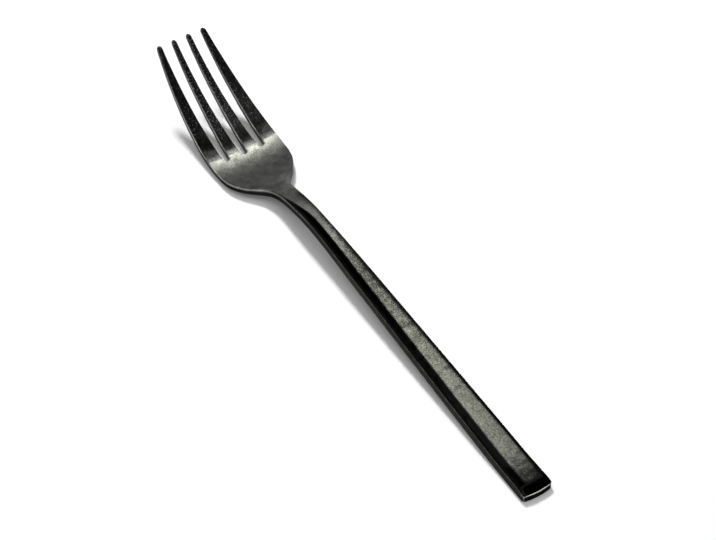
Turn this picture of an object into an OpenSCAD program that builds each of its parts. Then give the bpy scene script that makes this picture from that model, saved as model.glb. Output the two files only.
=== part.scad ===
// Dinner fork: a four-tined head with a tang, brazed into a tapered bar handle.
// The fork lies with its tines up. +X runs from the handle's end to the tips, +Y is across
// and +Z is up. The origin is on the table, under the middle of the fork's length.
// Every surface is laid out along one side profile: a station is a distance along the
// underside from the handle's end, and a height stands square to that underside.

/* [Overall] */
// Length from the handle's end to the tine tips, as the fork lies
overall_l = 205.5; // [185:0.5:215]

/* [Side profile] */
// Length that runs level from the handle's end before the handle starts to rise
land_l = 6.5; // [4:0.5:14]
// Radius that lifts the handle off its flat land
land_r = 150; // [100:5:200]
// Radius over the long crest of the handle
crest_r = 200; // [150:5:240]
// Radius of the bend down into the neck
neck_r = 61; // [55:1:66]
// Slope of the neck where it is steepest, in degrees
neck_angle = 21.6; // [20:0.1:22.5]
// Radius of the belly under the root of the tines
belly_r = 43; // [38:1:47]
// Slope at which the belly hands over to the tines, in degrees
root_angle = 20.5; // [17:0.5:24]
// Radius along the tines
tine_r = 89; // [75:1:100]
// Slope of the tines at their tips, in degrees
tip_angle = 44.5; // [38:0.5:46]

/* [Handle] */
// Width at the square-cut end
end_w = 10.4; // [8:0.1:13]
// Width at the neck, where the handle meets the head
neck_w = 6.2; // [5.6:0.1:7.5]
// Height of the flat side near the end
side_h = 2.7; // [2.4:0.1:3.4]
// Height of the flat side at the neck
neck_side_h = 2.4; // [2.2:0.1:2.9]
// Height of the flat end face at its corners
end_face_h = 2.4; // [2:0.1:2.6]
// Rise of the crowned top above the sides
crown_h = 0.8; // [0.4:0.1:1.2]
// Distance in from each side over which the top rolls off
crown_band = 2.4; // [1.6:0.1:3]
// Distance in from the end over which the top rolls off
end_roll = 4; // [2:0.5:8]
// How far the middle of the end stands proud of its corners
end_bow = 0.4; // [0.1:0.1:1]
// Plan radius of the two end corners
end_corner_r = 1.2; // [0.6:0.1:2]
// Height of the softened lower edges
under_edge = 0.35; // [0.2:0.05:0.6]
// Depth that is ground off the underside to leave the flat land
land_cut = 0.15; // [0.1:0.05:0.25]

/* [Head] */
// Greatest width, over the root of the tines
root_w = 25.7; // [22:0.1:29]
// Length of the root and shoulders, from the neck to the slot ends
root_l = 31; // [28:0.5:34]
// Thickness of the root
root_t = 2.2; // [1.8:0.1:2.6]
// How far the root is dished below its edges
dish_d = 1.1; // [0.4:0.1:1.6]
// Height of the softened edges of the head
head_edge = 0.4; // [0.2:0.05:0.45]

/* [Tines] */
// Length of the slots, measured along the tines
slot_l = 46.5; // [42:0.5:50]
// Width of a slot at its round end
slot_end_w = 2; // [1.6:0.1:2.4]
// Width of a slot at the tips
slot_tip_w = 3.85; // [3.5:0.05:4.1]
// Spacing of the slots at their round ends
root_pitch = 6.6; // [6:0.05:7]
// Spacing of the slots at the tips
tip_pitch = 5.45; // [5.3:0.05:5.65]
// Width over the four tips
tip_span = 18.1; // [17.6:0.1:18.6]
// Thickness of a tine at its tip
tip_t = 1.5; // [1.2:0.1:1.8]
// Length of a tine's rounded nose
nose_l = 1.2; // [0.6:0.1:2]

/* [Brazed joint] */
// Length of the tang inside the handle
tang_l = 12; // [8:0.5:16]
// Width of the tang
tang_w = 3; // [2.4:0.1:3.4]
// Thickness of the tang
tang_t = 1.3; // [1:0.1:1.5]
// Thickness of the braze all round the tang and between the shoulders
braze_gap = 0.1; // [0.05:0.05:0.15]

/* [Hidden] */
steel = [0.12, 0.12, 0.12];
silver = [0.75, 0.73, 0.66];

// The side profile is a chain of straight and round pieces, each [length, turn]. The handle's
// slope follows from the room between the land and the crest: the straight rise touches both
// of their arcs.
function arc_l(r, turn) = r * turn * PI / 180;
tine_reach = tine_r * (sin(tip_angle) - sin(root_angle));
head_reach = (neck_r + belly_r) * sin(neck_angle) + belly_r * sin(root_angle) + tine_reach;
crest_x = overall_l - head_reach - land_l;
crest_z = (neck_r + belly_r) * (1 - cos(neck_angle)) + land_cut;
arcs_r = land_r + crest_r;
rise_l = sqrt(crest_x * crest_x + crest_z * crest_z - 2 * arcs_r * crest_z);
handle_angle = atan2(arcs_r, rise_l) - atan2(arcs_r - crest_z, crest_x);
chain = [
    [land_l, 0],
    [arc_l(land_r, handle_angle), handle_angle],
    [rise_l, 0],
    [arc_l(crest_r, handle_angle), -handle_angle],
    [arc_l(neck_r, neck_angle), -neck_angle],
    [arc_l(belly_r, neck_angle), neck_angle],
    [arc_l(belly_r, root_angle), root_angle],
    [arc_l(tine_r, tip_angle - root_angle), tip_angle - root_angle],
];

// A state on the chain is [station, x, z, slope]; along() moves on by d from a state.
function along(st, piece, d) = let (a = st[3], turn = piece[1])
    turn == 0
        ? [st[0] + d, st[1] + d * cos(a), st[2] + d * sin(a), a]
        : let (r = piece[0] * 180 / PI / turn, b = a + turn * d / piece[0])
            [st[0] + d, st[1] + r * (sin(b) - sin(a)), st[2] + r * (cos(a) - cos(b)), b];
starts = [
    for (i = 0, st = [0, 0, -land_cut, 0];
        i < len(chain);
        st = along(st, chain[i], chain[i][0]), i = i + 1) st
];
total_s = starts[len(chain) - 1][0] + chain[len(chain) - 1][0];
function piece_at(s) = max([for (i = [0:len(chain) - 1]) if (i == 0 || s >= starts[i][0]) i]);
function path(s) = let (i = piece_at(s)) along(starts[i], chain[i], s - starts[i][0]);
function place(s, y, h) = let (p = path(s)) [p[1] - h * sin(p[3]), y, p[2] + h * cos(p[3])];

// A smooth curve through [station, value] rows that never overshoots them.
function secant(rows, i) = (rows[i + 1][1] - rows[i][1]) / (rows[i + 1][0] - rows[i][0]);
function tangent(rows, i) =
    i == 0 ? secant(rows, 0)
    : i == len(rows) - 1 ? secant(rows, i - 1)
    : let (a = secant(rows, i - 1), b = secant(rows, i)) a * b <= 0 ? 0 : 2 * a * b / (a + b);
function row_at(rows, s) = max([for (i = [0:len(rows) - 2]) if (i == 0 || s >= rows[i][0]) i]);
function curve(rows, s) = let (
        i = row_at(rows, s),
        w = rows[i + 1][0] - rows[i][0],
        t = min(1, max(0, (s - rows[i][0]) / w)),
        m = tangent(rows, i) * w,
        n = tangent(rows, i + 1) * w
    )
    rows[i][1] * (1 + 2 * t) * (1 - t) * (1 - t) + m * t * (1 - t) * (1 - t)
    + rows[i + 1][1] * t * t * (3 - 2 * t) - n * t * t * (1 - t);

// Stations: the joint, the root and the slots' round ends, counted back from the tips.
slot_s = total_s - slot_l;
joint_s = slot_s - root_l;
neck_s = joint_s - tang_l;

// Half the plan width: a tapered handle, the shoulders, then the outer tines.
taper_shares = [[0, 1], [0.25, 0.82], [0.5, 0.57], [0.75, 0.3], [1, 0]];
shoulder_shares = [
    [0.1, 0.01], [0.2, 0.05], [0.3, 0.17], [0.39, 0.37], [0.48, 0.61], [0.58, 0.81], [0.68, 0.93],
    [0.82, 0.99], [1, 1]
];
tine_shares = [[0.12, 0.97], [0.32, 0.82], [0.52, 0.62], [0.74, 0.36], [1, 0]];
plan_rows = concat(
    [for (p = taper_shares) [neck_s * p[0], (neck_w + (end_w - neck_w) * p[1]) / 2]],
    [[joint_s, neck_w / 2]],
    [for (p = shoulder_shares) [joint_s + root_l * p[0], (neck_w + (root_w - neck_w) * p[1]) / 2]],
    [for (p = tine_shares) [slot_s + slot_l * p[0], (tip_span + (root_w - tip_span) * p[1]) / 2]]
);
function corner(s) = s < end_corner_r
    ? end_corner_r - sqrt(end_corner_r * end_corner_r - (end_corner_r - s) * (end_corner_r - s)) : 0;
function half_w(s) = curve(plan_rows, s) - corner(s);

// Heights of the sides, and the rise and reach of the rolled top edges, along the fork.
side_rows = [
    [0, end_face_h], [end_roll, side_h], [neck_s, neck_side_h], [joint_s, neck_side_h],
    [joint_s + root_l / 2, root_t - head_edge], [slot_s, root_t - head_edge],
    [total_s, tip_t - head_edge]
];
crown_rows = [
    [joint_s - root_l, crown_h], [joint_s, crown_h * 0.85], [joint_s + root_l / 2, head_edge],
    [total_s, head_edge]
];
band_rows = [
    [joint_s - root_l, crown_band], [joint_s, crown_band * 0.9], [joint_s + root_l / 2, head_edge],
    [total_s, head_edge]
];
dish_shares = [[0, 0], [0.3, 0.4], [0.6, 0.95], [0.8, 1], [1, 0.85]];
dish_rows = concat(
    [for (p = dish_shares) [joint_s + root_l * p[0], dish_d * p[1]]],
    [[slot_s + slot_l / 2, dish_d / 3], [total_s, dish_d / 4]]
);
function end_fade(s) = s < end_roll ? sqrt(1 - (1 - s / end_roll) * (1 - s / end_roll)) : 1;
function dish(s, y) = let (v = 2 * y / root_w) curve(dish_rows, s) * v * v
    * (s < slot_s ? root_w / 2 / half_w(s) : 1);
// Quarter ellipse: 0 at an edge, 1 from one band in.
function roll(e, band) = let (u = 1 - min(1, max(0, e) / band)) sqrt(1 - u * u);

// Slots and tines across the head. Ahead of the slots the borders only divide the plate.
slot_end_r = slot_end_w / 2;
slot_width_shares = [[0, 0], [0.16, 0.25], [0.32, 0.48], [0.48, 0.66], [0.74, 0.82], [1, 1]];
slot_rows = [for (p = slot_width_shares)
    [slot_s + slot_l * p[0], (slot_end_w + (slot_tip_w - slot_end_w) * p[1]) / 2]];
// True where the tines are apart, from just beyond the slots' round ends.
function apart(s) = s > slot_s + slot_end_r / 100;
function slot_half(s) = let (d = (s - slot_s) / slot_end_r)
    !apart(s) ? 0 : curve(slot_rows, s) * (d < 1 ? sqrt(1 - (1 - d) * (1 - d)) : 1);
function slot_y(k, s) = k * (apart(s)
    ? root_pitch + (tip_pitch - root_pitch) * (s - slot_s) / slot_l
    : root_pitch * half_w(s) / half_w(slot_s));
function right_edge(j, s) = j == 0 ? -half_w(s) : slot_y(j - 2, s) + slot_half(s);
function left_edge(j, s) = j == 3 ? half_w(s) : slot_y(j - 1, s) - slot_half(s);
// Share of a tine's section that is left along its rounded nose.
function nose(s) = let (d = (total_s - s) / nose_l) d < 1 ? max(0.4, sqrt(1 - (1 - d) * (1 - d))) : 1;

// Height of the top and of the underside at y, with the nearest real edge e away.
function top_h(s, y, e) = dish(s, y) + curve(side_rows, s)
    + curve(crown_rows, s) * end_fade(s) * roll(e, curve(band_rows, s));
function under_h(s, y, edge, e) = dish(s, y) + edge * (1 - roll(e, edge));

// One ring of points round a section between two edges: the top from right to left, then
// the underside back. cut_r and cut_l say whether those sides are the wall of a slot.
roll_shares = [0, 0.04, 0.16, 0.4, 0.7, 1];
under_shares = [0, 0.3, 1];
function spread(y_r, y_l, shares, band) = let (reach = min(band, 0.42 * (y_l - y_r))) concat(
    [for (k = shares) y_r + k * reach],
    [(y_r + y_l) / 2],
    [for (i = [len(shares) - 1:-1:0]) y_l - shares[i] * reach]
);
function ring(s, y_r, y_l, edge, cut_r = false, cut_l = false, squeeze = 1) = let (
        w = half_w(s),
        mid = (y_r + y_l) / 2,
        top_ys = spread(y_r, y_l, roll_shares, curve(band_rows, s)),
        under_ys = spread(y_r, y_l, under_shares, edge),
        mid_h = dish(s, mid) + curve(side_rows, s) / 2,
        bow = s < end_roll ? end_bow * (1 - s / end_roll) : 0,
        e = function (y) min(w - abs(y), cut_r ? y - y_r : w, cut_l ? y_l - y : w),
        put = function (y, h)
            place(s + bow * y * y / w / w, mid + (y - mid) * squeeze, mid_h + (h - mid_h) * squeeze)
    )
    concat(
        [for (y = top_ys) put(y, top_h(s, y, e(y)))],
        [for (i = [len(under_ys) - 1:-1:0]) let (y = under_ys[i]) put(y, under_h(s, y, edge, e(y)))]
    );
ring_top = 2 * len(roll_shares) + 1;
ring_n = ring_top + 2 * len(under_shares) + 1;

// Skin between two rings that start at points a and b, leaving out the named side walls.
function skin(a, b, skip) = [
    for (i = [0:ring_n - 1]) let (j = (i + 1) % ring_n)
        if (!(len([for (k = skip) if (k == i) k]) > 0)) each
            [[a + i, a + j, b + j], [a + i, b + j, b + i]]
];
left_wall = ring_top - 1;
right_wall = ring_n - 1;
// Flat cap over the ring that starts at point a, as a fan round the point c inside it.
function first_cap(a, c) = [for (i = [0:ring_n - 1]) [c, a + (i + 1) % ring_n, a + i]];
function last_cap(a, c) = [for (i = [0:ring_n - 1]) [c, a + i, a + (i + 1) % ring_n]];
function core(s, y) = place(s, y, dish(s, y) + curve(side_rows, s) / 2);

// The handle as one loft from the end to a given station.
function steps(a, b, n) = [for (i = [1:n]) a + (b - a) * i / n];
end_stations = [for (k = [0, 0.04, 0.12, 0.25, 0.5, 0.75, 1]) k * end_corner_r];
roll_stations = steps(end_corner_r, end_roll, 5);
function bar_ring(s) = ring(s, -half_w(s), half_w(s), under_edge);
module bar(stations) {
    n = len(stations);
    polyhedron(
        points = concat(
            [for (s = stations) each bar_ring(s)],
            [core(stations[0], 0), core(stations[n - 1], 0)]
        ),
        faces = concat(
            first_cap(0, n * ring_n),
            [for (r = [0:n - 2]) each skin(r * ring_n, (r + 1) * ring_n, [])],
            last_cap((n - 1) * ring_n, n * ring_n + 1)
        ),
        convexity = 4
    );
}

// The head as four strips side by side, joined ahead of the slots and apart beyond them.
head_stations = concat(
    [joint_s],
    steps(joint_s, joint_s + root_l / 5, 3),
    steps(joint_s + root_l / 5, slot_s, 20),
    [for (k = [0.03, 0.12, 0.3, 0.6, 1]) slot_s + k * slot_end_r],
    steps(slot_s + slot_end_r, total_s - nose_l, 16),
    [for (k = [0.35, 0.65, 0.85, 1]) total_s - nose_l * (1 - k)]
);
function edge_at(s) = under_edge + (head_edge - under_edge) * min(1, (s - joint_s) / (root_l / 2));
function strip_ring(s, j) = ring(s, right_edge(j, s), left_edge(j, s), edge_at(s),
    j > 0 && apart(s), j < 3 && apart(s), nose(s));
blank_points = [for (s = head_stations) for (j = [0:3]) each strip_ring(s, j)];
function strip_core(s, j) = core(s, (right_edge(j, s) + left_edge(j, s)) / 2);
module blank() {
    n = len(head_stations);
    row_n = 4 * ring_n;
    polyhedron(
        points = concat(blank_points, [for (s = [joint_s, total_s], j = [0:3]) strip_core(s, j)]),
        faces = concat(
            [for (j = [0:3]) each first_cap(j * ring_n, n * row_n + j)],
            [for (r = [0:n - 2], j = [0:3]) let (whole = !apart(head_stations[r + 1])) each
                skin(r * row_n + j * ring_n, (r + 1) * row_n + j * ring_n,
                    whole ? [if (j > 0) right_wall, if (j < 3) left_wall] : [])],
            [for (j = [0:3]) each last_cap((n - 1) * row_n + j * ring_n, n * row_n + 4 + j)]
        ),
        convexity = 12
    );
}

// The model is moved so that the origin is under the middle of its length.
reach_x = max([for (p = blank_points) p[0]]);
over = root_t;
module centred() translate([-reach_x / 2, 0, 0]) children();

// A block along the tang's axis, which runs through the middle of the bar at both its ends.
mid_h = (neck_side_h + crown_h * 0.85) / 2;
tang_root = place(joint_s, 0, mid_h);
tang_end = place(neck_s, 0, mid_h);
tang_angle = atan2(tang_root[2] - tang_end[2], tang_root[0] - tang_end[0]);
module tang_block(back, ahead, grow) {
    translate(tang_root)
        rotate([0, -tang_angle, 0])
            translate([-back, -tang_w / 2 - grow, -tang_t / 2 - grow])
                cube([back + ahead, tang_w + 2 * grow, tang_t + 2 * grow]);
}
// Everything just ahead of the joint, square to the underside there.
module ahead_of_joint() {
    translate(place(joint_s, 0, 0))
        rotate([0, -path(joint_s)[3], 0])
            translate([0, -neck_w, -over])
                cube([over, 2 * neck_w, 4 * over]);
}

module fork_head() {
    color(steel) centred() union() {
        blank();
        tang_block(tang_l, root_l / 16, 0);
    }
}

module handle() {
    color(steel) centred() difference() {
        bar(concat(end_stations, roll_stations, steps(end_roll, land_l, 2), steps(land_l, neck_s, 22),
            steps(neck_s, joint_s - braze_gap, 6)));
        tang_block(tang_l + braze_gap, over, braze_gap);
        translate([-over, -end_w, -2 * over])
            cube([joint_s / 2, 2 * end_w, 2 * over]);
    }
}

module braze_joint() {
    color(silver) centred() difference() {
        union() {
            bar([joint_s - braze_gap, joint_s]);
            tang_block(tang_l + braze_gap, braze_gap, braze_gap);
        }
        tang_block(tang_l, over, 0);
        ahead_of_joint();
    }
}

fork_head();
handle();
braze_joint();
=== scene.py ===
import math

import bpy
import numpy as np
from mathutils import Matrix, Vector


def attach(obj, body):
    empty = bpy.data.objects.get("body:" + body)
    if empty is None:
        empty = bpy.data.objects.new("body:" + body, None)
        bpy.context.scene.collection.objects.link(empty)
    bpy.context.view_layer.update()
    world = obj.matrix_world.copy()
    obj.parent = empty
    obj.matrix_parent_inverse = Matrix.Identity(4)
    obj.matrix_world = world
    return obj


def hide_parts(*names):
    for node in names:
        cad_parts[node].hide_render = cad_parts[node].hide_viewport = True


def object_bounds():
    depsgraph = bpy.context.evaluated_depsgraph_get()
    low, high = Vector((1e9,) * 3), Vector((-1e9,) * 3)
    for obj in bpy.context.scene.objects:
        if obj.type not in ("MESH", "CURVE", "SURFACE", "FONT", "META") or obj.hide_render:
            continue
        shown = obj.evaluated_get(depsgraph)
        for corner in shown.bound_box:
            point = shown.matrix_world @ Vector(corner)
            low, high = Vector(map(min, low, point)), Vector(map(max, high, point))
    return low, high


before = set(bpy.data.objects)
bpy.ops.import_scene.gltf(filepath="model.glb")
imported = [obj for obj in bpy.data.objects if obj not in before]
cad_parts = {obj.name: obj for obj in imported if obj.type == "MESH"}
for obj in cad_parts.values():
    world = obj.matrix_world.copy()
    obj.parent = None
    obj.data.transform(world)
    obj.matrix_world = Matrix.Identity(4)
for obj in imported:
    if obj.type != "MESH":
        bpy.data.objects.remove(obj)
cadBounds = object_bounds()
scene = bpy.context.scene
mm = 0.001

# Sizes of the fork in millimetres and degrees, the same as in the CAD source, apart from the
# burr, which is only here: the deburred edge round the end's face. "grid" says how finely a
# piece is divided.
profile = {
    "overall": 205.5,
    "land": 6.5,
    "landCut": 0.15,
    "landRadius": 150,
    "crestRadius": 200,
    "neckRadius": 61,
    "neckAngle": 21.6,
    "bellyRadius": 43,
    "rootAngle": 20.5,
    "tineRadius": 89,
    "tipAngle": 44.5,
}
bar = {
    "endWidth": 10.4,
    "neckWidth": 6.2,
    "sideHeight": 2.7,
    "neckSideHeight": 2.4,
    "endFaceHeight": 2.4,
    "crown": 0.8,
    "neckCrownShare": 0.85,
    "crownBand": 2.4,
    "neckBandShare": 0.9,
    "endRoll": 4,
    "endBow": 0.4,
    "cornerRadius": 1.2,
    "underEdge": 0.35,
    "burr": 0.08,
    "burrSlope": 1.6,
    "tangLength": 12,
    "tangWidth": 3,
    "tangThickness": 1.3,
    "brazeGap": 0.1,
    "grid": {"top": {"roll": 15, "flat": 31}, "wall": 5, "under": {"roll": 7, "flat": 11}},
    "rows": {"burr": 3, "roll": 38, "length": 330},
    "rollStart": 0.26,  # radians into the end's roll, just past the burr
    "caps": (0.94, 0.8, 0.6, 0.4, 0.2, 0.002),
}
head = {
    "rootWidth": 25.7,
    "rootLength": 31,
    "thickness": 2.2,
    "dish": 1.1,
    "edge": 0.4,
    "slotLength": 46.5,
    "slotEndWidth": 2,
    "slotTipWidth": 3.85,
    "rootPitch": 6.6,
    "tipPitch": 5.45,
    "tipSpan": 18.1,
    "tipThickness": 1.5,
    "nose": 1.2,
    "bluntShare": 0.4,
    "grid": {"top": {"roll": 7, "flat": 19}, "wall": 2, "under": {"roll": 5, "flat": 5}},
    "rows": {"root": 120, "slotEnd": 13, "tines": 130, "nose": 9},
    "rowsToSlot": (1.4, 1, 0.75, 0.5, 0.3, 0.15, 0.05, 0),  # in edge widths
    "caps": (0.7, 0.4, 0.002),
    "slopeStep": 0.05,
}
surface = {"rollShare": 0.42, "sharpAngle": 40, "mergeDecimals": 5}


# The side profile: straight and round pieces in a row, each a length and a turn in radians.
# The handle's straight rise touches the round pieces on both sides of it, whose radii add up to
# arcs. The rise squared is crestX squared plus crestZ squared less twice arcs times crestZ. The
# slope is the angle whose tangent is arcs over rise, less the one whose tangent is arcs - crestZ
# over crestX.
def sideChain(p):
    neck, root, tip = (math.radians(p[k]) for k in ("neckAngle", "rootAngle", "tipAngle"))
    tineReach = p["tineRadius"] * (math.sin(tip) - math.sin(root))
    neckReach = (p["neckRadius"] + p["bellyRadius"]) * math.sin(neck)
    crestX = p["overall"] - (neckReach + p["bellyRadius"] * math.sin(root) + tineReach) - p["land"]
    crestZ = (p["neckRadius"] + p["bellyRadius"]) * (1 - math.cos(neck)) + p["landCut"]
    arcs = p["landRadius"] + p["crestRadius"]
    rise = math.sqrt(crestX**2 + crestZ**2 - 2 * arcs * crestZ)
    slope = math.atan2(arcs, rise) - math.atan2(arcs - crestZ, crestX)
    return [
        (p["land"], 0.0),
        (p["landRadius"] * slope, slope),
        (rise, 0.0),
        (p["crestRadius"] * slope, -slope),
        (p["neckRadius"] * neck, -neck),
        (p["bellyRadius"] * neck, neck),
        (p["bellyRadius"] * root, root),
        (p["tineRadius"] * (tip - root), tip - root),
    ]


# Station, x, z and angle at distance d into a piece of the chain. A straight piece goes d along
# its angle. A round one has the radius length over turn, and goes that radius times the growth
# of the angle's sine in x, and times the fall of its cosine in z.
def along(start, length, turn, d):
    s, x, z, a = start
    if turn == 0:
        return s + d, x + d * math.cos(a), z + d * math.sin(a), a + 0 * d
    radius = length / turn
    b = a + turn * d / length
    return s + d, x + radius * (np.sin(b) - math.sin(a)), z + radius * (math.cos(a) - np.cos(b)), b


chain = sideChain(profile)
starts = [(0.0, 0.0, -profile["landCut"], 0.0)]
for length, turn in chain:
    starts.append(tuple(float(v) for v in along(starts[-1], length, turn, length)))
totalS = starts[-1][0]
slotS = totalS - head["slotLength"]
jointS = slotS - head["rootLength"]
neckS = jointS - bar["tangLength"]


# Point at station s, y across, and height h square to the underside: the chain's point at s,
# less h times the sine of its angle in x, plus h times the cosine in z.
def place(s, y, h):
    s, y, h = np.broadcast_arrays(np.asarray(s, float), y, h)
    x, z, a = np.zeros(s.shape), np.zeros(s.shape), np.zeros(s.shape)
    piece = np.searchsorted([start[0] for start in starts], s, side="right") - 1
    piece = np.clip(piece, 0, len(chain) - 1)
    for i, (length, turn) in enumerate(chain):
        inside = piece == i
        _, xi, zi, ai = along(starts[i], length, turn, s[inside] - starts[i][0])
        x[inside], z[inside], a[inside] = xi, zi, ai
    return np.stack([x - h * np.sin(a), y, z + h * np.cos(a)], -1)


# Smooth curve through (station, value) rows that never overshoots them: between two rows a
# cubic with a tangent at each. The tangent is the harmonic mean of the slopes on both sides of
# the row, level where they have different signs, and at the first and last row the one slope.
def smooth(rows, s):
    rows = np.asarray(rows, float)
    s = np.asarray(s, float)
    x, v = rows[:, 0], rows[:, 1]
    secant = np.diff(v) / np.diff(x)
    tangent = np.zeros(len(x))
    tangent[0], tangent[-1] = secant[0], secant[-1]
    a, b = secant[:-1], secant[1:]
    both = a * b > 0
    tangent[1:-1][both] = 2 * a[both] * b[both] / (a[both] + b[both])
    i = np.clip(np.searchsorted(x, s, side="right") - 1, 0, len(x) - 2)
    w = x[i + 1] - x[i]
    t = np.clip((s - x[i]) / w, 0, 1)
    m, n = tangent[i] * w, tangent[i + 1] * w
    return (
        v[i] * (1 + 2 * t) * (1 - t) ** 2
        + m * t * (1 - t) ** 2
        + v[i + 1] * t * t * (3 - 2 * t)
        - n * t * t * (1 - t)
    )


# Rows from (u, v) shares: the station is start plus u times length, and the value is low plus v
# times the way to high.
def mixShares(shares, start, length, low, high):
    return [(start + length * u, low + (high - low) * v) for u, v in shares]


# Half the width at stations along the fork: the handle's taper, the shoulders and the tines.
taperShares = [(0, 1), (0.25, 0.82), (0.5, 0.57), (0.75, 0.3), (1, 0)]
shoulderShares = [
    (0.1, 0.01),
    (0.2, 0.05),
    (0.3, 0.17),
    (0.39, 0.37),
    (0.48, 0.61),
    (0.58, 0.81),
    (0.68, 0.93),
    (0.82, 0.99),
    (1, 1),
]
tineShares = [(0.12, 0.97), (0.32, 0.82), (0.52, 0.62), (0.74, 0.36), (1, 0)]
endHalf, neckHalf = bar["endWidth"] / 2, bar["neckWidth"] / 2
rootHalf, tipHalf = head["rootWidth"] / 2, head["tipSpan"] / 2
planRows = (
    mixShares(taperShares, 0, neckS, neckHalf, endHalf)
    + [(jointS, neckHalf)]
    + mixShares(shoulderShares, jointS, head["rootLength"], neckHalf, rootHalf)
    + mixShares(tineShares, slotS, head["slotLength"], tipHalf, rootHalf)
)


# Half the width: the plan rows, less what the end's corner takes off, which is its radius r
# less the root of r squared minus (r - s) squared.
def halfWidth(s):
    r = bar["cornerRadius"]
    cut = np.clip(r - s, 0, r)
    return smooth(planRows, s) - (r - np.sqrt(r * r - cut * cut))


# Heights of the side faces and of the crown above them, and how far in the crown's edge reaches.
midRoot = jointS + head["rootLength"] / 2
sideRows = [
    (0, bar["endFaceHeight"]),
    (bar["endRoll"], bar["sideHeight"]),
    (neckS, bar["neckSideHeight"]),
    (jointS, bar["neckSideHeight"]),
    (midRoot, head["thickness"] - head["edge"]),
    (slotS, head["thickness"] - head["edge"]),
    (totalS, head["tipThickness"] - head["edge"]),
]
crownRows = [
    (jointS - head["rootLength"], bar["crown"]),
    (jointS, bar["crown"] * bar["neckCrownShare"]),
    (midRoot, head["edge"]),
    (totalS, head["edge"]),
]
bandRows = [
    (jointS - head["rootLength"], bar["crownBand"]),
    (jointS, bar["crownBand"] * bar["neckBandShare"]),
    (midRoot, head["edge"]),
    (totalS, head["edge"]),
]
# Depth of the dish at the head's full half width: it deepens over the root and fades over the
# tines.
dishShares = [(0, 0), (0.3, 0.4), (0.6, 0.95), (0.8, 1), (1, 0.85)]
dishRows = mixShares(dishShares, jointS, head["rootLength"], 0, head["dish"]) + [
    (slotS + head["slotLength"] / 2, head["dish"] / 3),
    (totalS, head["dish"] / 4),
]


# How far the dish lifts the surface: the dish rows times the square of y over half the head's
# width, and before the slots also times the head's width over the local one.
def dishHeight(s, y):
    v = 2 * y / head["rootWidth"]
    narrow = np.where(s < slotS, rootHalf / halfWidth(np.minimum(s, slotS)), 1.0)
    return smooth(dishRows, s) * v * v * narrow


# Quarter ellipse: the root of 1 - u squared, where u falls from 1 at an edge to 0 one band in.
def rollOff(e, band):
    u = 1 - np.clip(e / band, 0, 1)
    return np.sqrt(1 - u * u)


# Size of the rolled lower edge: the bar's up to the joint, then evenly to the head's, halfway
# along the root.
def underEdge(s):
    share = np.clip((s - jointS) / (head["rootLength"] / 2), 0, 1)
    return bar["underEdge"] + (head["edge"] - bar["underEdge"]) * share


# Height of the top: the dish, the side face and the crown, which rolls off over the end and one
# band in from the edges, less the burr slope times what is left of the burr's width.
def topHeight(s, y, e):
    crown = smooth(crownRows, s) * rollOff(s, bar["endRoll"]) * rollOff(e, smooth(bandRows, s))
    burr = bar["burrSlope"] * np.clip(bar["burr"] - s, 0, bar["burr"])
    return dishHeight(s, y) + smooth(sideRows, s) + crown - burr


# Height of the underside: the dish, plus the lower edge's size times 1 less its roll-off.
def underHeight(s, y, e):
    edge = underEdge(s)
    return dishHeight(s, y) + edge * (1 - rollOff(e, edge))


slotR = head["slotEndWidth"] / 2
slotRows = mixShares(
    [(0, 0), (0.16, 0.25), (0.32, 0.48), (0.48, 0.66), (0.74, 0.82), (1, 1)],
    slotS,
    head["slotLength"],
    slotR,
    head["slotTipWidth"] / 2,
)


# Half a slot's width: the slot rows times the root of 1 - (1 - d) squared, where d grows from 0
# to 1 over the slot's round end. Before the slot it is 0.
def slotHalf(s):
    d = np.clip((s - slotS) / slotR, 0, 1)
    return np.where(s > slotS, smooth(slotRows, s) * np.sqrt(1 - (1 - d) ** 2), 0.0)


# Middle of slot k, -1, 0 or 1: k times the pitch, which goes evenly from the root's to the
# tips'. Before the slots it is the root's pitch, drawn in as the outline is.
def slotMiddle(k, s):
    spread = head["tipPitch"] - head["rootPitch"]
    apart = head["rootPitch"] + spread * (s - slotS) / head["slotLength"]
    whole = head["rootPitch"] * halfWidth(np.minimum(s, slotS)) / halfWidth(np.array(slotS))
    return k * np.where(s > slotS, apart, whole)


# How much of its section a tine keeps near the tip: the root of 1 - (1 - d) squared, where d
# grows from 0 at the tip to 1 one nose length before it, and no less than the blunt share.
def noseShare(s):
    d = np.clip((totalS - s) / head["nose"], 0, 1)
    return np.maximum(head["bluntShare"], np.sqrt(1 - (1 - d) ** 2))


# Mesh from points in millimetres and quads of point numbers, with float attributes on the
# points. It is shaded smooth but for edges over the sharp angle.
def meshObject(name, points, quads, attributes, material, body="root"):
    mesh = bpy.data.meshes.new(name)
    quads = np.asarray(quads, np.int32)
    mesh.vertices.add(len(points))
    mesh.vertices.foreach_set("co", (np.asarray(points, float) * mm).ravel().astype(np.float32))
    mesh.loops.add(quads.size)
    mesh.loops.foreach_set("vertex_index", quads.ravel())
    mesh.polygons.add(len(quads))
    loopStarts = np.arange(len(quads), dtype=np.int32) * quads.shape[1]
    mesh.polygons.foreach_set("loop_start", loopStarts)
    mesh.update(calc_edges=True)
    mesh.validate()
    for key, values in attributes.items():
        layer = mesh.attributes.new(key, "FLOAT", "POINT")
        layer.data.foreach_set("value", np.asarray(values, np.float32).ravel())
    mesh.polygons.foreach_set("use_smooth", np.ones(len(mesh.polygons), bool))
    mesh.set_sharp_from_angle(angle=math.radians(surface["sharpAngle"]))
    mesh.materials.append(material)
    obj = bpy.data.objects.new(name, mesh)
    scene.collection.objects.link(obj)
    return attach(obj, body)


# Numbers for every point of a grid of rings, counted up from first.
def ringNumbers(rings, first=0):
    return first + np.arange(rings.shape[0] * rings.shape[1]).reshape(rings.shape[:2])


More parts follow.
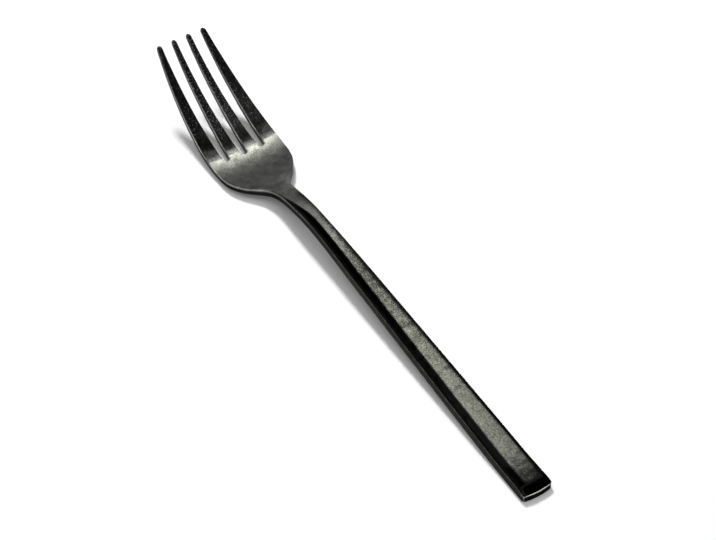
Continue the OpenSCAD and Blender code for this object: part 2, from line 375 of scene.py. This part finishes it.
# Quads between neighbouring rings of point numbers: each number and the next one round its
# ring, and the same two on the next ring, in the order that faces outwards.
def ringQuads(ids):
    after = np.roll(ids, -1, axis=1)
    return np.stack([ids[1:], after[1:], after[:-1], ids[:-1]], -1)


# Positions from start to end: over a band at each side they go as 1 less the cosine of even
# angles, which spaces them evenly round a rolled edge, and between the bands they are even.
def across(start, end, band, count):
    width = np.abs(end - start)
    reach = np.minimum(band, surface["rollShare"] * width) / np.maximum(width, 1e-9)
    turned = 1 - np.cos(np.linspace(0, math.pi / 2, count["roll"]))
    inner = np.linspace(0, 1, count["flat"] + 2)[1:-1]
    shares = [reach * turned, reach + (1 - 2 * reach) * inner, 1 - reach * turned[::-1]]
    return start + (end - start) * np.concatenate(shares, 1)


# One ring of points for each station and its two side edges: the top from right to left, the
# left wall, the underside back and the right wall. The heights are the top's and the
# underside's at each point's distance from the nearest real edge, which reach gives, and even
# steps between the two on the walls. Each point's distance from the ring's middle is multiplied
# by squeeze, and its station grows by bow times the square of y over half the width.
# Returned are the points, their y, and 0 for the top or 1 for the rest.
def ringGrid(s, yRight, yLeft, reach, squeeze, bow, counts):
    columns = (s, yRight, yLeft, squeeze, bow)
    s, yRight, yLeft, squeeze, bow = (np.asarray(v, float)[:, None] for v in columns)
    topY = across(yRight, yLeft, smooth(bandRows, s), counts["top"])
    underY = across(yLeft, yRight, underEdge(s), counts["under"])
    topH = topHeight(s, topY, reach(s, topY))
    underH = underHeight(s, underY, reach(s, underY))
    down = np.linspace(0, 1, counts["wall"] + 2)[None, 1:-1]
    leftY, rightY = yLeft + 0 * down, yRight + 0 * down
    leftH = topH[:, -1:] + (underH[:, :1] - topH[:, -1:]) * down
    rightH = underH[:, -1:] + (topH[:, :1] - underH[:, -1:]) * down
    y = np.concatenate([topY, leftY, underY, rightY], 1)
    h = np.concatenate([topH, leftH, underH, rightH], 1)
    midY = (yLeft + yRight) / 2
    midH = dishHeight(s, midY) + smooth(sideRows, s) / 2
    y, h = midY + (y - midY) * squeeze, midH + (h - midH) * squeeze
    width = halfWidth(s)
    side = np.ones(y.shape)
    side[:, : topY.shape[1]] = 0
    return place(s + bow * y * y / width / width, y, h), y, side


# The finish, as rows of (station, value). First, how much of the dark coat is rubbed off along the
# middle of the top: little on the handle, nearly all at the neck and the shoulders, half on the
# root, more in the patch before the slots, and little on the tines. The patch before the slots is
# only partly worn metal. It is also a painted highlight: the reflection of a softbox put into the
# colour.
wearAndSheenRows = [
    (0, 0.0),
    (3.6, 0.0),
    (4.8, 0.066),
    (20, 0.092),
    (40, 0.15),
    (70, 0.23),
    (92, 0.22),
    (104, 0.34),
    (116, 0.92),
    (126, 0.98),
    (133, 0.42),
    (jointS + 5, 0.6),
    (jointS + 10, 0.95),
    (jointS + 15, 0.47),
    (slotS - 10, 0.4),
    # Around the slots' ends these rows are partly painted highlight: the softbox's reflection in
    # the root.
    (slotS - 4, 0.56),
    (slotS - 2, 0.78),
    (slotS + 0.8, 0.78),
    (slotS + 2.2, 0.22),
    (slotS + 4.2, 0.026),
    (slotS + 8, 0.05),
    (slotS + 14, 0.125),
    (totalS, 0.16),
]
# How coarse the grain of the surface looks along the fork: 0 is satin, 1 is speckled.
grainRows = [
    (0, 0.6),
    (100, 0.6),
    (118, 0.42),
    (jointS, 0.08),
    (slotS - 8, 0.1),
    (slotS - 3, 0.38),
    (slotS + 1, 0.48),
    (slotS + 4, 0.65),
    (slotS + 12, 0.75),
    (totalS, 0.8),
]
# How straw-coloured the rubbed metal is along the fork.
toneRows = [
    (0, 0.2),
    (1, 0.2),
    (2, 1.0),
    (100, 1.0),
    (118, 0.3),
    (jointS, 0.1),
    (slotS - 8, 0.15),
    (slotS - 2, 0.6),
    (slotS + 6, 0.5),
    (slotS + 12, 0.0),
    (totalS, 0.0),
]
# How much of the coat is off the rolled edges along the fork.
edgeRows = [
    (0, 1.0),
    (0.3, 0.7),
    (0.8, 0.3),
    (2, 0.04),
    (jointS - 20, 0.04),
    (jointS, 0.4),
    (slotS - 4, 0.4),
    (slotS + 2, 0.3),
    (slotS + 9, 0.65),
    (slotS + 22, 0.45),
    (totalS, 0.15),
]
# The same for the side faces, which are bare at the upright corners of the end.
wallRows = [
    (0, 0.02),
    (0.22, 0.1),
    (0.32, 0.8),
    (0.44, 0.1),
    (0.6, 0.065),
    (95, 0.06),
    (115, 0.03),
    (slotS, 0.015),
    (totalS, 0.04),
]
# How the wear and the painted sheen change across. Pairs of distances in millimetres say where a
# change starts and where it is complete. On the handle the dark bands beside the pale middle are
# partly whole coat and partly painted dark reflection. Their difference from left to right is
# painted and follows the softboxes' light.
wearAndSheenAcross = {
    "edge": (0.1, 0.2),  # from an edge: how far in the rubbed edge reaches
    "leftBand": (2.65, 3.45),  # from the handle's left side: the dark band, whole coat and partly painted dark reflection
    "rightBand": (0.5, 2.7),  # the same from its right side
    "leftTaper": (jointS - 15, jointS + 2),  # stations over which the left band narrows
    "taperDepth": 0.8,
    "rightWearAndSheen": 0.24,  # share of the wear and painted sheen that the right band still has
    "leftLean": 0.2,  # more wear and painted sheen on the handle's left half and less on its right
    "leftGlintAndWear": 0.05,  # least wear along the handle's left edge, which is partly a painted glint of the edge
    "leftEdge": (0.5, 1.4),
    "ontoHead": (jointS - 3, jointS + 3),
    "headEdge": (0.1, 0.5),
    "patchStart": (slotS - 8, slotS - 3),
    "patchEnd": (slotS + 1, slotS + 3),
    "patchSides": 0.45,  # more towards the sides of the bright patch, which is partly a painted highlight
    "patchHalf": 10,
    "ontoTines": (slotS, slotS + 4),
    "tineMiddle": 0.3,  # more on the middle tines
    "tineSides": 0.6,  # and less on the outer ones
    "tineHalf": 9,
}


# Soft step from 0 at low to 1 at high: u squared times 3 - 2u.
def fade(x, low, high):
    u = np.clip((x - low) / (high - low), 0, 1)
    return u * u * (3 - 2 * u)


# Grain and straw tone at stations s: the grain row, fading out on the rubbed edges, which are
# smooth, and the tone row times 1 - side.
def finish(s, e, side=0):
    grain = smooth(grainRows, s) * fade(np.minimum(e, s), *wearAndSheenAcross["edge"])
    return {"grain": grain.ravel(), "tone": (smooth(toneRows, s) * (1 - side)).ravel()}


# Wear and painted sheen of the top: the wear row, times the two bands' fades and a lean to the left
# on the handle, and times 1 plus what the patch and the tines change across. The handle's pale
# middle and the patch before the slots are partly worn metal and partly painted highlight: the
# softboxes' reflections put into the colour. On the head the bands are left out, but for a thin
# strip along the edges. The rubbed edges take the edge row where that is more.
def topWearAndSheen(s, y, e):
    half = halfWidth(s)
    narrow = smooth(bandRows, s) / bar["crownBand"]
    taper = 1 - wearAndSheenAcross["taperDepth"] * fade(s, *wearAndSheenAcross["leftTaper"])
    # The dark bands are partly painted dark reflection, and they are wider on the left because of
    # where the light falls.
    left = fade(half - y, *(v * narrow * taper for v in wearAndSheenAcross["leftBand"]))
    right = fade(half + y, *(v * narrow for v in wearAndSheenAcross["rightBand"]))
    rightShare = wearAndSheenAcross["rightWearAndSheen"] + (1 - wearAndSheenAcross["rightWearAndSheen"]) * right
    lean = 1 + wearAndSheenAcross["leftLean"] * np.clip(y / half * 2, -1, 1) * (s < jointS)
    middle = left * rightShare * lean
    onHead = fade(s, *wearAndSheenAcross["ontoHead"])
    # The patch is partly worn metal and partly a painted highlight: a softbox's reflection before
    # the slots.
    patch = fade(s, *wearAndSheenAcross["patchStart"]) * (1 - fade(s, *wearAndSheenAcross["patchEnd"]))
    patchOut = np.clip(y / wearAndSheenAcross["patchHalf"], -1, 1) ** 2
    tineOut = np.clip(np.abs(y) / wearAndSheenAcross["tineHalf"], 0, 1) ** 2
    tineChange = wearAndSheenAcross["tineMiddle"] - wearAndSheenAcross["tineSides"] * tineOut
    sides = 1 + wearAndSheenAcross["patchSides"] * patch * patchOut
    sides = sides + fade(s, *wearAndSheenAcross["ontoTines"]) * tineChange
    strip = fade(e, *wearAndSheenAcross["headEdge"])
    face = smooth(wearAndSheenRows, s) * sides * (middle + (1 - middle) * onHead * strip)
    # A faint strip along the handle's left edge: partly specks of wear, partly a painted glint.
    leftEdge = 1 - fade(half - y, *(v * narrow for v in wearAndSheenAcross["leftEdge"]))
    face = np.maximum(face, wearAndSheenAcross["leftGlintAndWear"] * (1 - onHead) * leftEdge)
    rubbed = 1 - fade(np.minimum(e, s), *wearAndSheenAcross["edge"])
    return np.maximum(face, smooth(edgeRows, s) * rubbed)


# Wear and painted sheen anywhere: the wall row on the side faces and below, and the top's wear and
# painted sheen on the top.
def wearAndSheenOf(s, y, e, side):
    return np.where(side > 0, smooth(wallRows, s), topWearAndSheen(s, y, e))


# Distance from the bar's nearest side: half the width less the size of y.
def barReach(s, y):
    return halfWidth(s) - np.abs(y)


# The handle: rings from the end to the joint, close together over the burr, spaced as 1 less
# the cosine of even angles over the roll and evenly after it. Each cap is the end ring drawn in
# towards its middle. The bow bends the end forwards and fades out over the roll.
def makeHandle(material):
    rows, roll = bar["rows"], bar["endRoll"]
    turned = 1 - np.cos(np.linspace(bar["rollStart"], math.pi / 2, rows["roll"]))
    burrRows = bar["burr"] * np.linspace(0, 1, rows["burr"])
    sList = np.concatenate([burrRows, roll * turned, np.linspace(roll, jointS, rows["length"])[1:]])
    w = halfWidth(sList)
    bow = bar["endBow"] * np.clip(1 - sList / roll, 0, 1)
    points, y, side = ringGrid(sList, -w, w, barReach, np.ones(len(sList)), bow, bar["grid"])
    shares = np.array(bar["caps"])
    caps = []
    for at, capBow in ((0.0, bar["endBow"]), (jointS, 0.0)):
        s = np.full(len(shares), at)
        w = halfWidth(s)
        caps.append(ringGrid(s, -w, w, barReach, shares, np.full(len(shares), capBow), bar["grid"]))
    (endPoints, endY, endSide), (neckPoints, neckY, neckSide) = caps
    points = np.concatenate([endPoints[::-1], points, neckPoints])
    y = np.concatenate([endY[::-1], y, neckY])
    side = np.concatenate([np.ones(endSide.shape), side, np.ones(neckSide.shape)])
    stations = [np.zeros(len(shares)), sList, np.full(len(shares), jointS)]
    sAll = np.concatenate(stations)[:, None] + 0 * y
    points[:, :, 2] = np.maximum(points[:, :, 2], 0)  # the land lies flat on the floor
    e = barReach(sAll, y)
    return meshObject(
        "handleBar",
        (points - [centreX, 0, 0]).reshape(-1, 3),
        ringQuads(ringNumbers(points)).reshape(-1, 4),
        {"wearAndSheen": wearAndSheenOf(sAll, y, e, side).ravel(), **finish(sAll, np.where(side > 0, 1, e), side)},
        material,
    )


# Distance from the head's nearest real edge, never below 0. From the outline it is the distance
# across over the root of 1 plus the outline's slope squared. From a slot it is the distance
# from the middle of its round end less the radius, or past that, from its side.
def headReach(s, y):
    step = head["slopeStep"]
    slope = (halfWidth(s + step) - halfWidth(s - step)) / (2 * step)
    e = (halfWidth(s) - np.abs(y)) / np.sqrt(1 + slope**2)
    for k in (-1, 0, 1):
        off = np.abs(y - slotMiddle(k, s))
        middle = slotMiddle(k, np.maximum(s, slotS + 1e-6))
        roundEnd = np.hypot(s - slotS - slotR, y - middle) - slotR
        e = np.minimum(e, np.where(s < slotS + slotR, roundEnd, off - slotHalf(s)))
    return np.maximum(e, 0)


# The head: four closed tubes side by side, one for each tine with its strip of the root. Where
# they meet, before the slots, their walls are left out and their points are merged. The rings
# are even along the root and the tines, and close together at the slots' ends and the tips.
def makeHead(material):
    rows, band, nose = head["rows"], head["edge"], head["nose"]
    slotTurned = 1 - np.cos(np.linspace(0, math.pi / 2, rows["slotEnd"]))
    noseTurned = np.sin(np.linspace(0, math.pi / 2, rows["nose"]))
    sList = np.concatenate(
        [
            np.linspace(jointS, slotS - 2 * band, rows["root"]),
            slotS - band * np.array(head["rowsToSlot"]),
            slotS + slotR * slotTurned[1:],
            np.linspace(slotS + slotR, totalS - nose, rows["tines"])[1:],
            totalS - nose + nose * noseTurned[1:],
        ]
    )
    whole = int(np.argmin(np.abs(sList - slotS)))
    sList[whole] = slotS
    counts = head["grid"]
    nTop, nUnder = (2 * counts[k]["roll"] + counts[k]["flat"] for k in ("top", "under"))
    nWall = counts["wall"]
    shares = np.array(head["caps"])
    flat = np.zeros(len(shares))
    neck, tip = np.full(len(shares), jointS), np.full(len(shares), totalS)
    points, quads, wearAndSheens, stations, reaches = [], [], [], [], []
    offset = 0
    for j in range(4):
        right = -halfWidth(sList) if j == 0 else slotMiddle(j - 2, sList) + slotHalf(sList)
        left = halfWidth(sList) if j == 3 else slotMiddle(j - 1, sList) - slotHalf(sList)
        tube = ringGrid(sList, right, left, headReach, noseShare(sList), 0 * sList, counts)
        ends = [(np.full(len(shares), right[i]), np.full(len(shares), left[i])) for i in (0, -1)]
        neckCap = ringGrid(neck, *ends[0], headReach, shares, flat, counts)
        tipCap = ringGrid(tip, *ends[1], headReach, shares * head["bluntShare"], flat, counts)
        rings, y, side = (
            np.concatenate([first[::-1], between, last])
            for first, between, last in zip(neckCap, tube, tipCap)
        )
        s = np.concatenate([neck, sList, tip])[:, None] + 0 * y
        tubeQuads = ringQuads(ringNumbers(rings, offset))
        keep = np.ones(tubeQuads.shape[:2], bool)
        root = slice(len(shares), len(shares) + whole)
        if j < 3:
            keep[root, nTop - 1 : nTop + nWall] = False
        if j > 0:
            keep[root, nTop + nWall + nUnder - 1 :] = False
        e = headReach(s, y)
        points.append(rings.reshape(-1, 3))
        quads.append(tubeQuads[keep])
        wearAndSheens.append(wearAndSheenOf(s, y, e, side).ravel())
        stations.append(s.ravel())
        reaches.append(np.where(side > 0, 1, e).ravel())
        offset += y.size
    points, quads = np.concatenate(points), np.concatenate(quads)
    rounded = np.round(points, surface["mergeDecimals"])
    _, first, same = np.unique(rounded, axis=0, return_index=True, return_inverse=True)
    used, renumbered = np.unique(same.ravel()[quads], return_inverse=True)
    chosen = first[used]
    wearAndSheen, s, e = (np.concatenate(values)[chosen] for values in (wearAndSheens, stations, reaches))
    return meshObject(
        "forkHead",
        points[chosen] - [centreX, 0, 0],
        renumbered.reshape(quads.shape),
        {"wearAndSheen": wearAndSheen, **finish(s, e)},
        material,
    )


# A node tree: add makes a node, sets its values and links its inputs. maths works out one
# operation on a and b, and mix gives the colour that lies share of the way from a to b.
class Tree:
    def __init__(self, owner):
        owner.use_nodes = True
        self.tree = owner.node_tree
        self.tree.nodes.clear()

    def give(self, socket, value):
        if isinstance(value, bpy.types.NodeSocket):
            self.tree.links.new(value, socket)
        else:
            socket.default_value = value

    def add(self, kind, inputs=None, **settings):
        node = self.tree.nodes.new(kind)
        for key, value in settings.items():
            setattr(node, key, value)
        for key, value in (inputs or {}).items():
            self.give(node.inputs[key], value)
        return node

    def maths(self, operation, a, b=0.0, clamp=False):
        inputs = {0: a, 1: b}
        return self.add("ShaderNodeMath", inputs, operation=operation, use_clamp=clamp).outputs[0]

    def mix(self, share, a, b):
        inputs = {0: share, 6: a, 7: b}  # the mix node's colour sockets
        return self.add("ShaderNodeMix", inputs, data_type="RGBA").outputs[2]


steel = {
    "coat": (0.001, 0.001, 0.0011, 1),
    "worn": (0.4, 0.4, 0.385, 1),
    "straw": (0.4, 0.412, 0.34, 1),
    "edgeTint": (0.5, 0.5, 0.5, 1),
    "coatRoughness": 0.12,
    "wornRoughness": 0.29,
    "roughFrom": 0.3,  # level of wear from which the metal is fully rough
    "grain": {"Scale": 2100.0, "Detail": 3.0, "Roughness": 0.7},
    "grainLow": 0.3,
    "grainHigh": 0.7,
    "finePower": 2.0,
    "fineGain": 3.2,
    "rarePower": 6.0,
    "rareGain": 14.0,
    "rareFrom": 0.6,  # grain attribute above which the specks turn rare and bright
    "blotch": {"Scale": 420.0, "Detail": 3.0, "Roughness": 0.6},
    "blotchLeast": 0.3,
    "blotchGain": 1.4,
    "swell": {"Scale": 260.0, "Detail": 1.0},
    "waves": {"Strength": 0.8, "Distance": 0.00009},
    "pitStrength": 0.2,
    "pitDepth": 0.00005,
}


# Dark coated steel, rubbed down to grey metal. The level of wear is the wear attribute, which also
# carries the painted sheen of the handle's middle and of the patch before the slots. It is
# multiplied by an uneven blotch, and by 1 plus the grain attribute times (specks - 1). Specks are a
# power of the noise's high spots, so where the grain is high the rubbing leaves pale dots. The rare
# bright dots are partly painted glints of pits that catch the light.
def steelMaterial():
    material = bpy.data.materials.new("stonewashedSteel")
    t = Tree(material)
    where = t.add("ShaderNodeTexCoord").outputs["Object"]
    wearAndSheen, coarse, tone = (
        t.add("ShaderNodeAttribute", attribute_name=name).outputs["Fac"]
        for name in ("wearAndSheen", "grain", "tone")
    )
    grain = t.add("ShaderNodeTexNoise", {"Vector": where, **steel["grain"]}).outputs[0]
    blotch = t.add("ShaderNodeTexNoise", {"Vector": where, **steel["blotch"]}).outputs[0]
    high = t.add(
        "ShaderNodeMapRange",
        {"Value": grain, "From Min": steel["grainLow"], "From Max": steel["grainHigh"]},
    ).outputs[0]
    fine = t.maths("MULTIPLY", t.maths("POWER", high, steel["finePower"]), steel["fineGain"])
    # The rare bright specks are partly pale metal showing through the coat and partly painted
    # glints.
    rare = t.maths("MULTIPLY", t.maths("POWER", high, steel["rarePower"]), steel["rareGain"])
    rareInputs = {"Value": coarse, "From Min": steel["rareFrom"]}
    share = t.add("ShaderNodeMapRange", rareInputs).outputs[0]
    specks = t.maths("ADD", fine, t.maths("MULTIPLY", share, t.maths("SUBTRACT", rare, fine)))
    extra = t.maths("MULTIPLY", coarse, t.maths("SUBTRACT", specks, 1.0))
    gain = t.maths("ADD", 1.0, extra)
    blotches = t.maths("MULTIPLY", blotch, steel["blotchGain"])
    uneven = t.maths("ADD", steel["blotchLeast"], blotches)
    level = t.maths("MULTIPLY", wearAndSheen, t.maths("MULTIPLY", gain, uneven), clamp=True)
    base = t.mix(level, steel["coat"], t.mix(tone, steel["worn"], steel["straw"]))
    rough = t.add(
        "ShaderNodeMapRange",
        {
            "Value": level,
            "From Max": steel["roughFrom"],
            "To Min": steel["coatRoughness"],
            "To Max": steel["wornRoughness"],
        },
    ).outputs[0]
    swell = t.add("ShaderNodeTexNoise", {"Vector": where, **steel["swell"]}).outputs[0]
    waves = t.add("ShaderNodeBump", {"Height": swell, **steel["waves"]}).outputs[0]
    pits = t.add(
        "ShaderNodeBump",
        {
            "Height": grain,
            "Strength": t.maths("MULTIPLY", coarse, steel["pitStrength"]),
            "Distance": steel["pitDepth"],
            "Normal": waves,
        },
    ).outputs[0]
    shader = t.add(
        "ShaderNodeBsdfPrincipled",
        {
            "Base Color": base,
            "Roughness": rough,
            "Normal": pits,
            "Metallic": 1.0,
            "Specular Tint": steel["edgeTint"],
        },
    )
    t.add("ShaderNodeOutputMaterial", {"Surface": shader.outputs[0]})
    return material


braze = {
    "dark": (0.5, 0.48, 0.42, 1),
    "pale": (0.66, 0.64, 0.56, 1),
    "smoothest": 0.3,
    "roughest": 0.55,
    "grain": {"Scale": 1500.0, "Detail": 3.0},
    "grid": {"top": {"roll": 5, "flat": 7}, "wall": 2, "under": {"roll": 5, "flat": 7}},
    "film": (0.002, 0.6, 0.97),  # its rings, as shares of the bar's section
    "tangPower": 0.3,
    "tangTurns": 24,
    "tangCap": 0.02,
}


# Silver braze: one noise mixes its two colours and sets its roughness between two values.
def brazeMaterial():
    material = bpy.data.materials.new("silverBraze")
    t = Tree(material)
    where = t.add("ShaderNodeTexCoord").outputs["Object"]
    grain = t.add("ShaderNodeTexNoise", {"Vector": where, **braze["grain"]}).outputs[0]
    rough = t.add(
        "ShaderNodeMapRange",
        {"Value": grain, "To Min": braze["smoothest"], "To Max": braze["roughest"]},
    ).outputs[0]
    base = t.mix(grain, braze["dark"], braze["pale"])
    shader = t.add(
        "ShaderNodeBsdfPrincipled", {"Base Color": base, "Roughness": rough, "Metallic": 1.0}
    )
    t.add("ShaderNodeOutputMaterial", {"Surface": shader.outputs[0]})
    return material


# The braze, all of it under the surface. The film across the joint is the bar's ring drawn in,
# on both sides of the gap. The sleeve round the tang is a rounded rectangle along a straight
# axis: a power of the cosine times half its width, and of the sine times half its height.
def makeBraze(material):
    gap = bar["brazeGap"]
    shares = np.array([*braze["film"], *braze["film"][::-1]])
    filmS = np.repeat([jointS - gap, jointS], len(braze["film"]))
    w = halfWidth(filmS)
    film = ringGrid(filmS, -w, w, barReach, shares, 0 * shares, braze["grid"])[0]
    middle = (bar["neckSideHeight"] + bar["crown"] * bar["neckCrownShare"]) / 2
    ends = place(np.array([neckS, jointS - gap]), 0.0, middle)
    axis = (ends[1] - ends[0]) / np.linalg.norm(ends[1] - ends[0])
    up = np.array([-axis[2], 0, axis[0]])
    turn = np.linspace(0, 2 * math.pi, braze["tangTurns"] + 1)[:-1]
    square = lambda v: np.sign(v) * np.abs(v) ** braze["tangPower"]
    wide, high = bar["tangWidth"] / 2 + gap, bar["tangThickness"] / 2 + gap
    outline = (
        square(np.cos(turn))[:, None] * [0, wide, 0]
        + square(np.sin(turn))[:, None] * high * up
    )
    sleeve = np.stack([ends[0] + outline * braze["tangCap"], ends[0] + outline, ends[1] + outline])
    film, sleeve = film - [centreX, 0, 0], sleeve - [centreX, 0, 0]
    filmIds = ringNumbers(film)
    sleeveIds = ringNumbers(sleeve, filmIds.size)
    return meshObject(
        "brazeFilm",
        np.concatenate([film.reshape(-1, 3), sleeve.reshape(-1, 3)]),
        np.concatenate([ringQuads(ids).reshape(-1, 4) for ids in (filmIds, sleeveIds)]),
        {},
        material,
    )


floor = {
    "size": 3.0,
    "below": 0.00003,
    "colour": (0.95, 0.95, 0.95, 1),
    "fibre": (0.92, 0.92, 0.92, 1),
    "fibreShare": 0.1,
    "paper": {"Scale": 900.0, "Detail": 2.0},
    "roughness": 0.5,
    "lift": 0.1,
}


# Pale matt floor, one square just below the fork. Where it is seen, directly or mirrored, its
# lift is added to what the lamps give it, so it ends up white and keeps the shadow.
def makeFloor():
    material = bpy.data.materials.new("paleFloor")
    t = Tree(material)
    path = t.add("ShaderNodeLightPath").outputs
    seen = t.maths("ADD", path["Is Camera Ray"], path["Is Glossy Ray"])
    seen = t.maths("MINIMUM", t.maths("ADD", seen, path["Is Transmission Ray"]), 1.0)
    where = t.add("ShaderNodeTexCoord").outputs["Object"]
    paper = t.add("ShaderNodeTexNoise", {"Vector": where, **floor["paper"]}).outputs[0]
    fibres = t.maths("MULTIPLY", paper, floor["fibreShare"])
    colour = t.mix(fibres, floor["colour"], floor["fibre"])
    mattInputs = {"Color": colour, "Roughness": floor["roughness"]}
    matt = t.add("ShaderNodeBsdfDiffuse", mattInputs).outputs[0]
    lift = t.maths("MULTIPLY", seen, floor["lift"])
    glow = t.add("ShaderNodeEmission", {"Strength": lift}).outputs[0]
    both = t.add("ShaderNodeAddShader", {0: matt, 1: glow}).outputs[0]
    t.add("ShaderNodeOutputMaterial", {"Surface": both})
    half, z = floor["size"] / 2, -floor["below"]
    square = [(-half, -half, z), (half, -half, z), (half, half, z), (-half, half, z)]
    mesh = bpy.data.meshes.new("floor")
    mesh.from_pydata(square, [], [(0, 1, 2, 3)])
    mesh.materials.append(material)
    obj = bpy.data.objects.new("floor", mesh)
    scene.collection.objects.link(obj)


# The key and the fill light the floor and give the shadow. The softboxes are what the metal
# mirrors. Places and sizes are in metres, and "along" is the direction of a lamp's length.
lamps = {
    "key": {"at": (0.94, -0.22, 1.2), "size": (0.26, 0.2), "watts": 23.0, "mirrored": False},
    "fill": {"at": (0.1, 0.0, 1.6), "size": (2.0, 2.0), "watts": 12.5, "mirrored": False},
    "side": {"at": (0.8, -1.02, 1.95), "size": (0.36, 1.15), "watts": 8.8, "mirrored": True},
    "over": {"at": (0.6, -0.25, 1.9), "size": (0.4, 0.3), "watts": 2.7, "mirrored": True},
    "rim": {"at": (0.27, 0.83, 0.56), "size": (1.0, 0.4), "watts": 5.5, "mirrored": True},
    "back": {
        "at": (-1.85, -0.66, 0.34),
        "size": (1.4, 0.5),
        "watts": 9.0,
        "mirrored": True,
        "along": (0, 1, 0),
    },
}


# Lamps that look at the origin: z points away from it, y is z crossed with the lamp's length,
# and x is y crossed with z.
def makeLamps():
    for name, lamp in lamps.items():
        data = bpy.data.lights.new(name, "AREA")
        data.shape = "RECTANGLE"
        data.size, data.size_y = lamp["size"]
        data.energy = lamp["watts"]
        obj = bpy.data.objects.new(name, data)
        at = Vector(lamp["at"])
        z = at.normalized()
        y = z.cross(Vector(lamp.get("along", (1, 0, 0)))).normalized()
        turn = Matrix((y.cross(z), y, z)).transposed().to_quaternion()
        obj.matrix_world = Matrix.LocRotScale(at, turn, None)
        obj.visible_glossy = lamp["mirrored"]
        obj.visible_diffuse = not lamp["mirrored"]
        scene.collection.objects.link(obj)


world = {
    "plain": 0.1,
    "low": 0.18,
    "high": 0.4,
    "towards": (0.8, -0.6, 0.0),
    "overhead": 0.7,
    "overheadFrom": 0.92,
}


# Soft surroundings: plain for the floor. For the metal they go from low to high as the
# direction turns towards the softboxes' side, by its dot product with "towards", and near
# straight up the overhead part is added.
def makeWorld():
    scene.world = bpy.data.worlds.new("studio")
    t = Tree(scene.world)
    where = t.add("ShaderNodeTexCoord").outputs["Generated"]
    sideInputs = {0: where, 1: world["towards"]}
    side = t.add("ShaderNodeVectorMath", sideInputs, operation="DOT_PRODUCT").outputs["Value"]
    roomInputs = {"Value": side, "To Min": world["low"], "To Max": world["high"]}
    room = t.add("ShaderNodeMapRange", roomInputs).outputs[0]
    up = t.add("ShaderNodeSeparateXYZ", {0: where}).outputs[2]
    aboveInputs = {"Value": up, "From Min": world["overheadFrom"], "To Max": world["overhead"]}
    above = t.add("ShaderNodeMapRange", aboveInputs).outputs[0]
    room = t.maths("ADD", room, above)
    glossy = t.add("ShaderNodeLightPath").outputs["Is Glossy Ray"]
    extra = t.maths("MULTIPLY", glossy, t.maths("SUBTRACT", room, world["plain"]))
    strength = t.maths("ADD", world["plain"], extra)
    background = {"Color": (1, 1, 1, 1), "Strength": strength}
    back = t.add("ShaderNodeBackground", background).outputs[0]
    t.add("ShaderNodeOutputWorld", {"Surface": back})


# The photograph's view, in degrees and millimetres. The focal length is 2500 pixels of a
# picture that is 716 wide.
camera = {
    "azimuth": 32.07,
    "elevation": 47.30,
    "roll": -0.74,
    "distance": 775.6,
    "target": (99.41, -1.75, 5.0),
    "sensor": 36,
    "focal": 2500 / 716 * 36,
    "clip": (0.05, 20),
}


# Camera at the target plus the distance times the direction back to it, which azimuth and
# elevation give. right is the upright crossed with back, up is back crossed with right, and
# both are then turned by the roll.
def makeCamera():
    az, el, roll = (math.radians(camera[k]) for k in ("azimuth", "elevation", "roll"))
    back = Vector((-math.cos(az) * math.cos(el), math.sin(az) * math.cos(el), math.sin(el)))
    right = Vector((0, 0, 1)).cross(back).normalized()
    up = back.cross(right)
    turnedRight = right * math.cos(roll) + up * math.sin(roll)
    turnedUp = up * math.cos(roll) - right * math.sin(roll)
    data = bpy.data.cameras.new("camera")
    data.sensor_fit = "HORIZONTAL"
    data.sensor_width = camera["sensor"]
    data.lens = camera["focal"]
    data.clip_start, data.clip_end = camera["clip"]
    obj = bpy.data.objects.new("camera", data)
    target = Vector(camera["target"]) - Vector((centreX, 0, 0))
    axes = Matrix((turnedRight, turnedUp, back)).transposed()
    at = (target + back * camera["distance"]) * mm
    obj.matrix_world = Matrix.LocRotScale(at, axes.to_quaternion(), None)
    scene.collection.objects.link(obj)
    scene.camera = obj


# The frame's origin is under the middle of the length, so half of it comes off every x.
centreX = (cadBounds[1].x - cadBounds[0].x) / 2 / mm
scene.view_settings.view_transform = "Standard"
makeCamera()
makeFloor()
makeLamps()
makeWorld()
print("stage: camera, floor and lamps")
darkSteel = steelMaterial()
handleBar = makeHandle(darkSteel)
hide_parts("handle")
print("stage: handle", len(handleBar.data.vertices))
forkHead = makeHead(darkSteel)
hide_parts("fork_head")
print("stage: head", len(forkHead.data.vertices))
brazeFilm = makeBraze(brazeMaterial())
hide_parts("braze_joint")
print("stage: braze")
